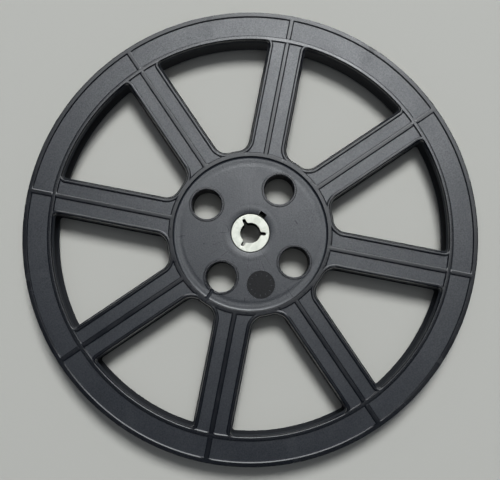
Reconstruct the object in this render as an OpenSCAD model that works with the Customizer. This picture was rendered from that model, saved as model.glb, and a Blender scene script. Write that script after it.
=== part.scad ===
// Moulded cine film reel: two spoked flanges on a hollow winding drum, with pressed steel centre plates.
// Z is the spindle axis and z = 0 is the face that the reel lies on. +X runs through the key notch.

/* [Reel] */
// Diameter over the flanges
reel_d = 178.4; // [165:0.1:230]
// Width of the film channel between the flanges
film_gap = 8.8; // [8.4:0.1:12]
// Flange thickness from the rib tops to the inner face
flange_t = 2.2; // [2:0.1:3]
// Radius on the outer edge of a flange
edge_round = 0.3; // [0.2:0.1:0.8]

/* [Rim] */
// Width of the rim from the outer edge to the windows
rim_w = 11.5; // [8:0.1:14]
// Width of the rib along the outer edge
outer_rib_w = 1.7; // [0.8:0.1:2.5]
// Width of the rib along the windows' outer ends
inner_rib_w = 1.9; // [0.8:0.1:2.5]
// Depth of the sunk panels below the rib tops
panel_depth = 0.5; // [0.3:0.05:0.8]

/* [Spokes] */
// Number of spokes
spoke_count = 8; // [6:1:9]
// Width of a spoke between two windows
spoke_w = 14.4; // [10:0.1:16]
// Width of the rib down the middle of a spoke
spine_w = 1.7; // [1:0.1:3]
// Width of the rib round a window
window_rib_w = 1.55; // [0.8:0.05:2]
// Fillet in a window's two corners at the rim
rim_fillet = 1.4; // [1:0.1:4]
// Fillet in a window's two corners at the hub
hub_fillet = 5.5; // [3:0.1:6]

/* [Hub disc] */
// Diameter of the sunk hub disc
hub_disc_d = 60.8; // [60:0.1:66]
// Width of the raised ring round the hub disc
hub_ring_w = 1.5; // [0.8:0.1:3]
// Web between the ring and the windows' inner ends
hub_web_w = 0.9; // [0.4:0.1:4]
// Depth of the hub disc below the rib tops
hub_recess = 0.7; // [0.4:0.05:0.8]
// Run of the slope from the ring down to the disc
hub_slope = 0.3; // [0.1:0.1:0.8]
// Half width of the shallow valley over the drum wall
valley_half_w = 1.3; // [0.8:0.1:1.5]
// Depth of the shallow valley over the drum wall
valley_depth = 0.05; // [0.05:0.05:0.3]
// Half width of the faint valley over the spindle tube
inner_valley_half_w = 0.8; // [0.5:0.1:1]
// Depth of the faint valley over the spindle tube
inner_valley_depth = 0.05; // [0.05:0.05:0.2]

/* [Mould mark] */
// Diameter of the round insert mark in the disc
mark_d = 11; // [6:0.5:12]
// Depth of the insert mark
mark_depth = 0.15; // [0.05:0.05:0.3]
// Angle of the insert mark from the key notch
mark_angle = 225; // [215:1:235]

/* [Finger holes] */
// Diameter of a finger hole
finger_d = 11.8; // [9:0.1:12]
// Distance of a finger hole's centre from the spindle axis
finger_pitch_r = 20.6; // [20:0.1:21]
// Width of the raised collar round a finger hole
collar_w = 0.95; // [0.5:0.05:1.2]
// Height of the collar above the disc
collar_h = 0.3; // [0.1:0.05:0.4]
// Wall of the tube that lines a finger hole
finger_wall = 1.2; // [0.8:0.1:1.4]

/* [Winding drum] */
// Outer diameter of the drum that the film winds on
drum_d = 57; // [55:0.5:59]
// Wall of the drum
drum_wall = 1.6; // [1.2:0.1:2.4]
// Outer diameter of the spindle tube
tube_d = 24.2; // [23.6:0.1:25]
// Wall of the spindle tube
tube_wall = 2.2; // [1.8:0.1:2.6]
// Thickness of the webs inside the drum
web_t = 1.5; // [1:0.1:2.5]
// Gap between a web's edges and the flanges
web_relief = 0.4; // [0.2:0.1:2]

/* [Film slot] */
// Width of the drum's slot that takes the film's end, and of the groove over it in a flange
film_slot_w = 1.6; // [1:0.1:2.5]
// Thickness left under the groove, from the flange's inner face
film_groove_floor = 0.8; // [0.6:0.05:1]
// Distance that the groove runs past the edge of the hub disc
film_slot_past = 0.5; // [0:0.1:1]

/* [Centre plates] */
// Diameter of the spindle hole
spindle_d = 8; // [6:0.1:9]
// Thickness of the pressed steel
plate_t = 0.8; // [0.5:0.1:1]
// Diameter of the crown that shows in the flange
crown_d = 15; // [14:0.1:15.2]
// Bend radius round the crown
crown_bend = 0.5; // [0.2:0.1:0.6]
// Depth of the crown below the hub disc
crown_drop = 0.15; // [0.05:0.05:0.4]
// Gap between the crown and the flange
crown_gap = 0.25; // [0.15:0.05:0.5]
// Ledge of the brim that lies under the spindle tube's end
brim_ledge = 1; // [0.6:0.1:1.2]
// Width of the three key slots
key_slot_w = 1.3; // [0.8:0.1:1.4]
// Length of a key slot from the edge of the spindle hole
key_slot_len = 2.1; // [1:0.1:2.2]
// Width of a key slot's mouth
key_mouth_w = 1.9; // [1.5:0.1:2.2]
// Length of the flare at a key slot's mouth
key_mouth_len = 0.8; // [0.3:0.1:1]

/* [Key notch] */
// Width of the notch that locks the plate
notch_w = 2.7; // [1.8:0.1:3]
// Length of the notch from the edge of the opening
notch_len = 1.85; // [1.2:0.05:2]
// Gap between the plate's tab and each side of the notch
tab_gap = 0.15; // [0.1:0.05:0.3]
// Distance that the tab stands out past the crown
tab_reach = 0.8; // [0.6:0.1:1]
// Depth of the tab's top below the crown
tab_drop = 1.2; // [0.2:0.1:1.2]

/* [Seats] */
// Depth of the seats that take the drum's ends
seat_depth = 0.4; // [0.2:0.1:0.5]
// Clearance round a seated wall
seat_gap = 0.1; // [0.05:0.05:0.2]

/* [Hidden] */
$fn = 128;
cut = 1;
// A fillet's circle passes the two edges that it blends by this much, so that no sliver is left between them
blend = 0.001;

PLASTIC = [0.13, 0.135, 0.14];
STEEL = [0.78, 0.79, 0.77];

reel_r = reel_d / 2;
reel_h = film_gap + 2 * flange_t;

window_angle = 360 / spoke_count;
first_spoke = window_angle / 2;
finger_count = 4;
key_slot_angles = [60, 180, 300];
film_slot_angle = 180;

window_outer_r = reel_r - rim_w;
disc_r = hub_disc_d / 2;
ring_r = disc_r + hub_ring_w;
window_inner_r = ring_r + hub_web_w;
disc_top = flange_t - hub_recess;

finger_r = finger_d / 2;
finger_tube_r = finger_r + finger_wall;

drum_r = drum_d / 2;
drum_mid_r = drum_r - drum_wall / 2;
tube_r = tube_d / 2;
tube_inner_r = tube_r - tube_wall;
tube_mid_r = tube_r - tube_wall / 2;

crown_r = crown_d / 2;
crown_top = disc_top - crown_drop;
opening_r = crown_r + crown_gap;
brim_r = tube_inner_r + brim_ledge;
tab_w = notch_w - 2 * tab_gap;

module around(count, first = 0) {
    for (k = [0 : count - 1])
        rotate(first + k * 360 / count) children();
}

// A flat ring between two radii
module ring(outer, inner) {
    difference() {
        circle(r = outer);
        circle(r = inner);
    }
}

// What fills the corner between a spoke's edge and an arc about the spindle, outside the fillet.
// inward is 1 where the fillet lies inside the arc, at the rim, and -1 at the hub.
module corner_patch(arc_r, half_spoke, fillet, inward) {
    centre_r = arc_r - inward * (fillet - blend);
    centre_y = half_spoke + fillet - blend;
    centre_x = sqrt(centre_r * centre_r - centre_y * centre_y);
    corner_x = sqrt(arc_r * arc_r - half_spoke * half_spoke);
    past = (arc_r + inward * cut) / centre_r;
    difference() {
        polygon([
            [centre_x, centre_y],
            [centre_x, half_spoke],
            [centre_x, half_spoke - cut],
            [corner_x + inward * cut, half_spoke - cut],
            [centre_x * past, centre_y * past]
        ]);
        translate([centre_x, centre_y]) circle(r = fillet);
    }
}

// Outline of the window that starts at the spoke along +X. grow moves the whole outline outwards.
module window_outline(grow = 0) {
    half_spoke = spoke_w / 2 - grow;
    far = 2 * reel_r;
    apex = half_spoke / sin(window_angle / 2);
    middle = window_angle / 2;
    side = [far * cos(window_angle), far * sin(window_angle)];
    difference() {
        intersection() {
            ring(window_outer_r + grow, window_inner_r - grow);
            translate(apex * [cos(middle), sin(middle)])
                polygon([[0, 0], [far, 0], side]);
        }
        for (flip = [0, 1])
            rotate(flip * window_angle) mirror([0, flip]) {
                corner_patch(window_outer_r + grow, half_spoke, rim_fillet + grow, 1);
                corner_patch(window_inner_r - grow, half_spoke, hub_fillet + grow, -1);
            }
    }
}

// The ribs that run out along the middle of every spoke
module spines() {
    around(spoke_count, first_spoke)
        translate([0, -spine_w / 2]) square([reel_r, spine_w]);
}

// All sunk panels of a flange: one in the rim between each two spines and two on each spoke
module panels() {
    difference() {
        ring(reel_r - outer_rib_w, window_outer_r + inner_rib_w);
        spines();
    }
    difference() {
        ring(window_outer_r, ring_r);
        around(spoke_count, first_spoke) window_outline(window_rib_w);
        spines();
    }
}

// Section of a shallow valley in the hub disc, over a wall behind it
module valley(mid_r, half_w, depth) {
    sweep_r = (half_w * half_w + depth * depth) / (2 * depth);
    intersection() {
        translate([mid_r, disc_top - depth + sweep_r]) circle(r = sweep_r);
        translate([mid_r - half_w, disc_top - depth - cut])
            square([2 * half_w, depth + 2 * cut]);
    }
}

// Half section of a flange before it is cut: radius along X, height along Y
module flange_section() {
    difference() {
        union() {
            square([disc_r, disc_top]);
            polygon([
                [disc_r - hub_slope, 0],
                [reel_r - edge_round, 0],
                [reel_r - edge_round, flange_t],
                [disc_r, flange_t],
                [disc_r - hub_slope, disc_top]
            ]);
            translate([reel_r - 2 * edge_round, 0])
                square([2 * edge_round, flange_t - edge_round]);
            translate([reel_r - edge_round, flange_t - edge_round])
                circle(r = edge_round);
        }
        valley(drum_mid_r, valley_half_w, valley_depth);
        valley(tube_mid_r, inner_valley_half_w, inner_valley_depth);
    }
}

// Opening for the centre plate's crown, with the notch for its tab
module plate_opening() {
    circle(r = opening_r);
    translate([0, -notch_w / 2]) square([opening_r + notch_len, notch_w]);
}

// Slot that the film's end is slipped into, from a finger hole out to the given radius
module film_slot(reach) {
    rotate(film_slot_angle)
        translate([finger_pitch_r, -film_slot_w / 2])
            square([reach - finger_pitch_r, film_slot_w]);
}

// Everything that goes right through a flange
module flange_openings() {
    around(spoke_count, first_spoke) window_outline();
    around(finger_count) translate([finger_pitch_r, 0]) circle(r = finger_r);
    plate_opening();
}

// Seats in the inner face for the ends of the drum and of the tubes round the finger holes
module drum_seats() {
    ring(drum_r + seat_gap, drum_r - drum_wall - seat_gap);
    around(finger_count) translate([finger_pitch_r, 0]) circle(r = finger_tube_r + seat_gap);
}

// One flange with its inner face at z = 0 and its ribs up. Both flanges come from the same mould.
module flange() {
    difference() {
        union() {
            rotate_extrude() flange_section();
            around(finger_count)
                translate([finger_pitch_r, 0, disc_top / 2])
                    cylinder(r = finger_r + collar_w, h = disc_top / 2 + collar_h);
        }
        translate([0, 0, flange_t - panel_depth])
            linear_extrude(panel_depth + cut) panels();
        translate([0, 0, -cut])
            linear_extrude(flange_t + 2 * cut) flange_openings();
        translate([0, 0, film_groove_floor])
            linear_extrude(flange_t) film_slot(disc_r + film_slot_past);
        translate([0, 0, -cut])
            linear_extrude(seat_depth + cut) drum_seats();
        rotate(mark_angle)
            translate([finger_pitch_r, 0, disc_top - mark_depth])
                cylinder(r = mark_d / 2, h = mark_depth + cut);
    }
}

// Plan of the drum, the spindle tube and the finger tubes
module drum_walls() {
    difference() {
        union() {
            ring(drum_r, drum_r - drum_wall);
            around(finger_count) translate([finger_pitch_r, 0]) circle(r = finger_tube_r);
        }
        around(finger_count) translate([finger_pitch_r, 0]) circle(r = finger_r);
        film_slot(drum_r + cut);
    }
}

// Plan of the webs that run from the spindle tube to the drum, every second one by way of a finger tube
module drum_webs() {
    difference() {
        around(2 * finger_count)
            translate([0, -web_t / 2]) square([drum_mid_r, web_t]);
        circle(r = tube_mid_r);
        around(finger_count) translate([finger_pitch_r, 0]) circle(r = finger_r + finger_wall / 2);
        film_slot(drum_r + cut);
    }
}

// Spindle tube with a step in each end that holds a centre plate's brim
module spindle_tube() {
    difference() {
        cylinder(r = tube_r, h = film_gap, center = true);
        cylinder(r = tube_inner_r, h = film_gap + cut, center = true);
        for (end = [-1, 1])
            translate([0, 0, end * film_gap / 2])
                cylinder(r = brim_r + seat_gap, h = 2 * plate_t, center = true);
    }
}

// Half section of a centre plate: a flat crown with the spindle hole, a wall and a flat brim
module plate_section() {
    translate([spindle_d / 2, crown_top - plate_t])
        square([crown_r - crown_bend - spindle_d / 2, plate_t]);
    translate([crown_r - crown_bend, crown_top - crown_bend])
        circle(r = crown_bend);
    translate([crown_r - plate_t, -plate_t])
        square([plate_t, crown_top - crown_bend + plate_t]);
    translate([crown_r - plate_t, -plate_t])
        square([brim_r - crown_r + plate_t, plate_t]);
}

// Tab bent down from the crown's edge into the flange's notch
module plate_tab() {
    translate([crown_r - plate_t, -tab_w / 2, -plate_t])
        cube([plate_t + tab_reach, tab_w, crown_top - tab_drop + plate_t]);
}

// Where the brim is cut away behind the notch
module brim_gap() {
    translate([crown_r, -notch_w / 2, -plate_t - cut])
        cube([brim_r, notch_w, plate_t + 2 * cut]);
}

// The three key slots, each with a flared mouth and a round end
module key_slots() {
    hole_r = spindle_d / 2;
    end_r = hole_r + key_slot_len - key_slot_w / 2;
    for (angle = key_slot_angles)
        rotate(angle) {
            translate([0, -key_slot_w / 2]) square([end_r, key_slot_w]);
            translate([end_r, 0]) circle(r = key_slot_w / 2);
            polygon([
                [0, -key_mouth_w / 2],
                [hole_r, -key_mouth_w / 2],
                [hole_r + key_mouth_len, 0],
                [hole_r, key_mouth_w / 2],
                [0, key_mouth_w / 2]
            ]);
        }
}

// Pressed steel plate, drawn as it lies in a flange whose inner face is at z = 0
module centre_plate() {
    difference() {
        union() {
            difference() {
                rotate_extrude() plate_section();
                brim_gap();
            }
            plate_tab();
        }
        translate([0, 0, crown_top - plate_t - cut])
            linear_extrude(plate_t + 2 * cut) key_slots();
    }
}

// Puts a piece drawn on a flange's inner face into the front of the reel
module at_front() {
    translate([0, 0, reel_h / 2 + film_gap / 2]) children();
}

// Puts the same piece into the rear, turned over about X
module at_rear() {
    translate([0, 0, reel_h / 2 - film_gap / 2]) rotate([180, 0, 0]) children();
}

module front_flange() {
    color(PLASTIC) at_front() flange();
}

module rear_flange() {
    color(PLASTIC) at_rear() flange();
}

module winding_drum() {
    wall_h = film_gap + 2 * seat_depth;
    web_h = film_gap - 2 * web_relief;
    color(PLASTIC)
        translate([0, 0, reel_h / 2]) {
            translate([0, 0, -wall_h / 2]) linear_extrude(wall_h) drum_walls();
            translate([0, 0, -web_h / 2]) linear_extrude(web_h) drum_webs();
            spindle_tube();
        }
}

module front_centre_plate() {
    color(STEEL) at_front() centre_plate();
}

module rear_centre_plate() {
    color(STEEL) at_rear() centre_plate();
}

front_flange();
rear_flange();
winding_drum();
front_centre_plate();
rear_centre_plate();
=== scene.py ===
"""Moulded cine film reel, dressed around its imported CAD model.

The two flanges and the two steel centre plates are modelled here in full, with the rounded ribs,
drafted walls and small wear of the real ones, and each stands for its CAD node. The winding drum
keeps its CAD shape and gets its material. Lengths are in metres. Z is the spindle axis, z = 0 the
face the reel lies on, and +X runs through the key notch.
"""

from __future__ import annotations

import logging
from dataclasses import dataclass, field
from enum import Enum
from functools import cached_property
from math import acos, asin, atan2, cos, hypot, pi, radians, sin, sqrt
from typing import Callable, Iterable, Mapping, Sequence

import bpy
from mathutils import Matrix, Vector


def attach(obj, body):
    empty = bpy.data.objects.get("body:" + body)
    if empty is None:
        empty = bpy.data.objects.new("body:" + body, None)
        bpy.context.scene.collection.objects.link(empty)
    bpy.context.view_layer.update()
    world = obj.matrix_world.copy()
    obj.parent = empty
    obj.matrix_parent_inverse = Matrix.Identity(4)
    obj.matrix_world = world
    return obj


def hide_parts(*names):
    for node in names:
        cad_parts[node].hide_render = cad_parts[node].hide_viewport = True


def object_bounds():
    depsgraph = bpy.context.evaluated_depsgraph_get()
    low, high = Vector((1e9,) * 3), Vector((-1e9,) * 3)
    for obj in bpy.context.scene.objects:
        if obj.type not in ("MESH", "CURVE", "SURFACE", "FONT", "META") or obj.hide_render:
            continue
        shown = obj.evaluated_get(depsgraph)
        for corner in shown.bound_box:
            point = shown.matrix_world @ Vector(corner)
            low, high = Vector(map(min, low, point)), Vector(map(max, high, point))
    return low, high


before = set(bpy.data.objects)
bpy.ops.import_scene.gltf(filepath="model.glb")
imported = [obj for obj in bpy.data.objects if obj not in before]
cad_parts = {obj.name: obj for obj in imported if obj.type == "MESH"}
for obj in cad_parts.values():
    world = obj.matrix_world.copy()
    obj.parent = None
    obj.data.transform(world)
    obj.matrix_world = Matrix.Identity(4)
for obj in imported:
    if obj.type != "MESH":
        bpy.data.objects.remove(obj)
CAD_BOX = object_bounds()

LOG = logging.getLogger("film_reel")

MM = 0.001
TURN = 2 * pi
ROOT = "root"
SEAM = 0.0005 * MM

PlanPoint = tuple[float, float]
Outline = list[PlanPoint]
Profile = Sequence[tuple[float, float]]
SpacePoint = tuple[float, float, float]
Row = list[SpacePoint]
Colour = tuple[float, float, float, float]

Piece = bpy.types.Object
Finish = bpy.types.Material
Tree = bpy.types.NodeTree
Node = bpy.types.Node
Socket = bpy.types.NodeSocket
Feed = Socket | float | tuple[float, ...]


class Side(Enum):
    """The side of the reel that a moulding or plate faces."""

    FRONT = "front"
    REAR = "rear"

    def placing(self, front_level: float, height: float) -> Matrix:
        """Gives the move from a piece drawn on its flange's inner face, at z = 0, to its place in the reel.

        Args:
            front_level: Height of the front flange's inner face.
            height: Height of the whole reel.

        Returns:
            The transform that is baked into the piece's mesh.
        """
        if self is Side.FRONT:
            return Matrix.Translation((0, 0, front_level))
        return Matrix.Translation((0, 0, height - front_level)) @ Matrix.Rotation(pi, 4, "X")


class Combining(Enum):
    """How a tool object changes a piece."""

    CUT = "DIFFERENCE"
    ADD = "UNION"


# Plan geometry


def in_metres(*rows: tuple[float, ...]) -> tuple[tuple[float, ...], ...]:
    """Turns rows of millimetres into metres."""
    return tuple(tuple(number * MM for number in row) for row in rows)


def arc(centre: PlanPoint, radius: float, start: float, end: float, steps: int) -> Outline:
    """Gives the points along an arc between two angles in radians, in so many chords, both ends included."""
    return [
        (
            centre[0] + radius * cos(start + (end - start) * k / steps),
            centre[1] + radius * sin(start + (end - start) * k / steps),
        )
        for k in range(steps + 1)
    ]


def bar(start: float, end: float, half_width: float) -> Outline:
    """Gives the corners of a rectangle that lies along +X, anticlockwise."""
    return [(start, -half_width), (end, -half_width), (end, half_width), (start, half_width)]


def turned(points: Outline, angle: float) -> Outline:
    """Gives the points turned about the spindle axis by an angle in radians."""
    c, s = cos(angle), sin(angle)
    return [(x * c - y * s, x * s + y * c) for x, y in points]


def flipped(points: Outline) -> Outline:
    """Gives the points mirrored in the X axis, in reverse order, so that the sense of turning is kept."""
    return [(x, -y) for x, y in reversed(points)]


def angle_of(point: PlanPoint, centre: PlanPoint = (0.0, 0.0)) -> float:
    """Gives the direction of a point from a centre, in radians."""
    return atan2(point[1] - centre[1], point[0] - centre[0])


def ring_crossing(centre: PlanPoint, radius: float, ring_radius: float) -> PlanPoint:
    """Gives the point where a circle crosses a ring about the spindle axis, on the side towards +X.

    Args:
        centre: Centre of the circle.
        radius: Radius of the circle.
        ring_radius: Radius of the ring.

    Returns:
        The crossing.
    """
    reach = hypot(*centre)
    squares = reach * reach + ring_radius * ring_radius - radius * radius
    angle = angle_of(centre) - acos(squares / (2 * reach * ring_radius))
    return (ring_radius * cos(angle), ring_radius * sin(angle))


def flare(radius: float, steps: int, wall: float, face: float, upwards: bool = True) -> Outline:
    """Gives the flare by which a cutter rounds the edge of a face.

    Args:
        radius: Radius of the rounding.
        steps: Number of chords across it.
        wall: How far the wall below the flare stands out from the outline.
        face: Height of the face that is cut.
        upwards: False for a face that looks down.

    Returns:
        Pairs of growth and height, from the wall out to just past the face.
    """
    last, tail, past = radians(74), 0.42, 0.1
    sense = 1 if upwards else -1
    rows = []
    for k in range(steps + 1):
        angle = last * k / steps
        rows.append((wall + radius * (1 - cos(angle)), face - sense * radius * (1 - sin(angle))))
    rows.append((rows[-1][0] + radius * tail, face + sense * past * radius))
    return rows


def at_height(outline: Outline, z: float) -> Row:
    """Lifts an outline to a height."""
    return [(x, y, z) for x, y in outline]


# Mesh shaping


def select_only(piece: Piece) -> None:
    """Makes one object the only one selected, and the active one."""
    bpy.ops.object.select_all(action="DESELECT")
    piece.select_set(True)
    bpy.context.view_layer.objects.active = piece


def clear_selection(mesh: bpy.types.Mesh) -> None:
    """Deselects every vertex, edge and face of a mesh, in object mode."""
    for group in (mesh.vertices, mesh.edges, mesh.polygons):
        group.foreach_set("select", [False] * len(group))


def loop_of(name: str, points: Sequence[SpacePoint]) -> Piece:
    """Adds a closed loop of edges through the given points.

    Args:
        name: Name of the new object.
        points: The loop's points in order.

    Returns:
        The new object, selected and active.
    """
    bpy.ops.object.select_all(action="DESELECT")
    bpy.ops.mesh.primitive_circle_add(vertices=len(points), radius=MM, fill_type="NOTHING")
    piece = bpy.context.object
    piece.name = name
    for vertex, point in zip(piece.data.vertices, points):
        vertex.co = point
    return piece


def lofted(name: str, rows: Sequence[Row]) -> Piece:
    """Makes a closed solid through rows of points, by extruding a loop and capping both ends.

    Args:
        name: Name of the new object.
        rows: Rows with the same number of points each, from the bottom up.

    Returns:
        The solid.
    """
    count = len(rows[0])
    piece = loop_of(name, rows[0])
    mesh = piece.data
    for row in rows[1:]:
        bpy.ops.object.mode_set(mode="EDIT")
        if len(mesh.vertices) == count:
            bpy.ops.mesh.select_all(action="SELECT")
        bpy.ops.mesh.extrude_region_move()
        bpy.ops.object.mode_set(mode="OBJECT")
        for vertex, point in zip(mesh.vertices[-count:], row):
            vertex.co = point
    last = len(mesh.vertices) - count
    for first in (last, 0):
        clear_selection(mesh)
        for edge in mesh.edges:
            edge.select = all(first <= v < first + count for v in edge.vertices)
        bpy.ops.object.mode_set(mode="EDIT")
        bpy.ops.mesh.select_mode(type="EDGE")
        bpy.ops.mesh.edge_face_add()
        bpy.ops.object.mode_set(mode="OBJECT")
    face_outwards(piece)
    return piece


def grown_solids(
    name: str, outline: Callable[[float], Outline], profile: Profile, angles: Iterable[float]
) -> list[Piece]:
    """Makes a solid at each angle, whose outline grows as the profile's pairs of growth and height say."""
    return [
        lofted(name, [at_height(turned(outline(grow), angle), z) for grow, z in profile])
        for angle in angles
    ]


def round_solid(name: str, centre: PlanPoint, profile: Profile, sides: int = 72) -> Piece:
    """Makes a round solid about an upright axis, through rows of radius and height from the bottom up."""
    return lofted(name, [at_height(arc(centre, r, 0, TURN, sides)[:-1], z) for r, z in profile])


def spun(name: str, section: Outline, steps: int) -> Piece:
    """Makes a ring-shaped solid by spinning a closed half section about the spindle axis.

    Args:
        name: Name of the new object.
        section: Points of the section, radius and height.
        steps: Number of steps round the axis.

    Returns:
        The solid.
    """
    piece = loop_of(name, [(r, 0.0, z) for r, z in section])
    bpy.ops.object.mode_set(mode="EDIT")
    bpy.ops.mesh.select_all(action="SELECT")
    bpy.ops.mesh.spin(steps=steps, angle=TURN, center=(0, 0, 0), axis=(0, 0, 1))
    bpy.ops.mesh.select_all(action="SELECT")
    bpy.ops.mesh.remove_doubles(threshold=SEAM)
    bpy.ops.object.mode_set(mode="OBJECT")
    face_outwards(piece)
    return piece


def face_outwards(piece: Piece) -> None:
    """Recalculates the normals of a closed piece so that its faces point outwards."""
    select_only(piece)
    bpy.ops.object.mode_set(mode="EDIT")
    bpy.ops.mesh.select_all(action="SELECT")
    bpy.ops.mesh.normals_make_consistent(inside=False)
    bpy.ops.object.mode_set(mode="OBJECT")


def joined(name: str, pieces: Sequence[Piece]) -> Piece:
    """Joins several objects into one.

    Args:
        name: Name of the joined object.
        pieces: The objects.

    Returns:
        The joined object.
    """
    select_only(pieces[0])
    for piece in pieces:
        piece.select_set(True)
    bpy.ops.object.join()
    pieces[0].name = name
    return pieces[0]


def combined(piece: Piece, tool: Piece, how: Combining) -> None:
    """Applies a boolean of a tool object to a piece, and deletes the tool.

    Args:
        piece: The object that is changed.
        tool: The object that is added or taken away.
        how: Whether it is added or taken away.
    """
    select_only(piece)
    modifier = piece.modifiers.new("combine", "BOOLEAN")
    modifier.operation = how.value
    modifier.solver = "EXACT"
    modifier.object = tool
    bpy.ops.object.modifier_apply(modifier=modifier.name)
    bpy.data.objects.remove(tool)


def finished_surface(piece: Piece, sharp_from: float, flat_weight: int = 50) -> None:
    """Shades a piece smooth across rounded edges and flat across flat faces.

    Args:
        piece: The piece.
        sharp_from: Angle between two faces, in radians, from which their edge stays sharp.
        flat_weight: How far large faces outweigh small ones, where 50 is even.
    """
    select_only(piece)
    bpy.ops.object.shade_smooth_by_angle(angle=sharp_from)
    modifier = piece.modifiers.new("flat faces", "WEIGHTED_NORMAL")
    modifier.keep_sharp = True
    modifier.weight = flat_weight
    bpy.ops.object.modifier_apply(modifier=modifier.name)


def copied(piece: Piece, name: str, move: Matrix) -> Piece:
    """Copies a piece with a mesh of its own, and moves the copy's mesh.

    Args:
        piece: The piece to copy.
        name: Name of the copy.
        move: The transform baked into the copy's mesh.

    Returns:
        The copy.
    """
    select_only(piece)
    bpy.ops.object.duplicate()
    copy = bpy.context.object
    copy.name = name
    copy.data.transform(move)
    return copy


# Moulded flange


@dataclass
class Flange:
    """One moulded flange, drawn with its inner face at z = 0 and its ribs up.

    Attributes:
        thickness: From the inner face to the tops of the ribs.
        rim: From the windows to the reel's edge.
        crown_radius: Radius of the inner rib's gently crowned top.
        panel_depth: From the rib tops to the sunk panels.
        panel_wall: Growth of a panel and rise over its floor, row by row up its wall.
        spine: Width of the rib along a spoke's middle.
        window_rib: Width of the rib along a window's side.
        window_draft: How far a window is narrower at the inner face.
        window_lip: Growth of a window and rise over the face, row by row up its edge.
        disc_drop: From the rib tops to the hub's sunk disc.
        disc_foot: Way in from the disc's edge and rise over the disc, row by row down its wall.
        disc_valleys: Middle, half width and depth of the sinks in the disc, over walls behind it.
        ring: Width of the ring round the disc.
        ring_wall: Turn of the rounding of its inner edge, down to the foot.
        web: From the ring to the windows.
        opening: Radius of the opening for the centre plate.
        finger_pitch: From the spindle axis to the finger holes and the mould mark.
        collar: Width of the raised collar round a finger hole.
        slot_floor: Height of the film groove's floor.
        slot_lean: How far each of its walls leans out.
        tick_place: Place of the mould mark's ticks, as a share of its radius.
        drum_seat: Inner and outer radius of the seat for the drum's wall.
        tube_seat: Radius of the seats for the finger tubes.
        around: Number of steps round the rim.
        sharp_from: Angle between two faces from which their edge stays sharp.
        past: How far a cutter stands out past a face.
    """

    radius: float = 89.2 * MM
    thickness: float = 2.2 * MM
    edge_round: float = 0.3 * MM
    foot_round: float = 0.15 * MM
    spokes: int = 8

    rim: float = 11.25 * MM
    outer_rib: float = 1.7 * MM
    inner_rib: float = 1.4 * MM
    crown_radius: float = 9.0 * MM
    panel_depth: float = 0.5 * MM
    panel_wall: Profile = in_metres(
        (-0.36, 0.0), (-0.32, 0.03), (-0.29, 0.10), (-0.26, 0.29), (0.0, 0.445), (0.07, 0.48), (0.16, 0.505)
    )

    spoke: float = 13.6 * MM
    spine: float = 1.45 * MM
    window_rib: float = 1.03 * MM
    rim_fillet: float = 1.8 * MM
    hub_fillet: float = 5.9 * MM
    window_draft: float = 0.8 * MM
    window_lip: Profile = in_metres((0.0, -0.24), (0.04, -0.17), (0.20, -0.06), (0.27, -0.02), (0.36, 0.005))
    window_round: float = 0.14 * MM

    disc_radius: float = 30.36 * MM
    disc_drop: float = 0.7 * MM
    disc_foot: Profile = in_metres(
        (-0.10, 0.30), (-0.15, 0.22), (-0.23, 0.18), (-0.56, 0.03), (-0.63, 0.01), (-0.70, 0.0)
    )
    disc_valleys: Sequence[tuple[float, float, float]] = in_metres((27.7, 1.5, 0.045), (11.2, 1.0, 0.01))
    ring: float = 1.54 * MM
    ring_round: float = 0.2 * MM
    ring_wall: float = radians(67)
    web: float = 0.5 * MM

    opening: float = 7.75 * MM
    opening_round: float = 0.12 * MM
    finger_radius: float = 5.9 * MM
    finger_pitch: float = 20.6 * MM
    finger_round: float = 0.28 * MM
    fingers: int = 4
    collar: float = 0.95 * MM
    collar_height: float = 0.3 * MM
    collar_round: float = 0.12 * MM

    notch_width: float = 2.7 * MM
    notch_reach: float = 9.6 * MM
    notch_lean: float = 0.15 * MM
    slot_width: float = 1.6 * MM
    slot_reach: float = 30.9 * MM
    slot_floor: float = 0.8 * MM
    slot_lean: float = 0.6 * MM
    slot_angle: float = pi

    mark_radius: float = 5.5 * MM
    mark_depth: float = 0.15 * MM
    mark_angle: float = radians(225)
    mark_ticks: int = 12
    tick_place: float = 0.76

    drum_seat: tuple[float, float] = (26.8 * MM, 28.6 * MM)
    tube_seat: float = 7.2 * MM
    seat_depth: float = 0.4 * MM
    around: int = 288
    sharp_from: float = radians(38)
    past: float = 0.6 * MM

    window_outer: float = field(init=False)
    window_inner: float = field(init=False)
    ring_outer: float = field(init=False)
    disc_top: float = field(init=False)
    half_spoke: float = field(init=False)
    sector: float = field(init=False)

    def __post_init__(self) -> None:
        """Works out the sizes that follow from the given ones."""
        self.window_outer = self.radius - self.rim
        self.ring_outer = self.disc_radius + self.ring
        self.window_inner = self.ring_outer + self.web
        self.disc_top = self.thickness - self.disc_drop
        self.half_spoke = self.spoke / 2
        self.sector = TURN / self.spokes

    def build(self) -> Piece:
        """Models the flange.

        Returns:
            The flange as one closed mesh, at the origin.
        """
        flange = spun("flange", self.section(), self.around)
        combined(flange, self.collars(), Combining.ADD)
        cutters = self.windows() + self.rim_panels() + self.spoke_panels() + self.finger_holes()
        combined(flange, joined("cutters", cutters), Combining.CUT)
        combined(flange, joined("seats", self.tube_seats()), Combining.CUT)
        cutters = [self.key_notch(), self.film_slot(), self.mould_mark()]
        combined(flange, joined("cutters", cutters), Combining.CUT)
        combined(flange, joined("ticks", self.mark_pips()), Combining.ADD)
        finished_surface(flange, self.sharp_from)
        return flange

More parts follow.
